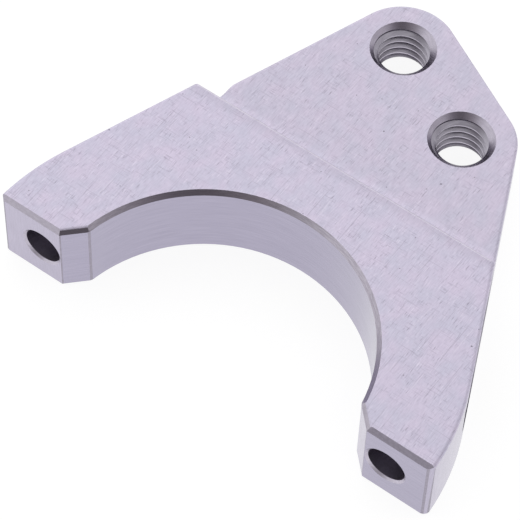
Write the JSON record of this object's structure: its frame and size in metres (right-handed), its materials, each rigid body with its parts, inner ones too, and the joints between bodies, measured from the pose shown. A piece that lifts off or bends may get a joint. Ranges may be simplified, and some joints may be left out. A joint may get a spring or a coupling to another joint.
{
  "type": "steering damper fork clamp",
  "caption": "Milled aluminium fork clamp half with a half-round bore, bolt ears and a thinner tapped tab that carries a steering damper.",
  "frame": {"origin": "bore axis at the underside of the plate", "axes": "+Z along the bore axis and up from the underside, +Y from the bore towards the tab, X from ear to ear"},
  "size_m": [0.0672, 0.0615, 0.012],
  "materials": {
    "milled_aluminium": "satin, as milled and deburred"
  },
  "bodies": {
    "root": {"fork_clamp": "milled_aluminium"}
  },
  "joints": []
}
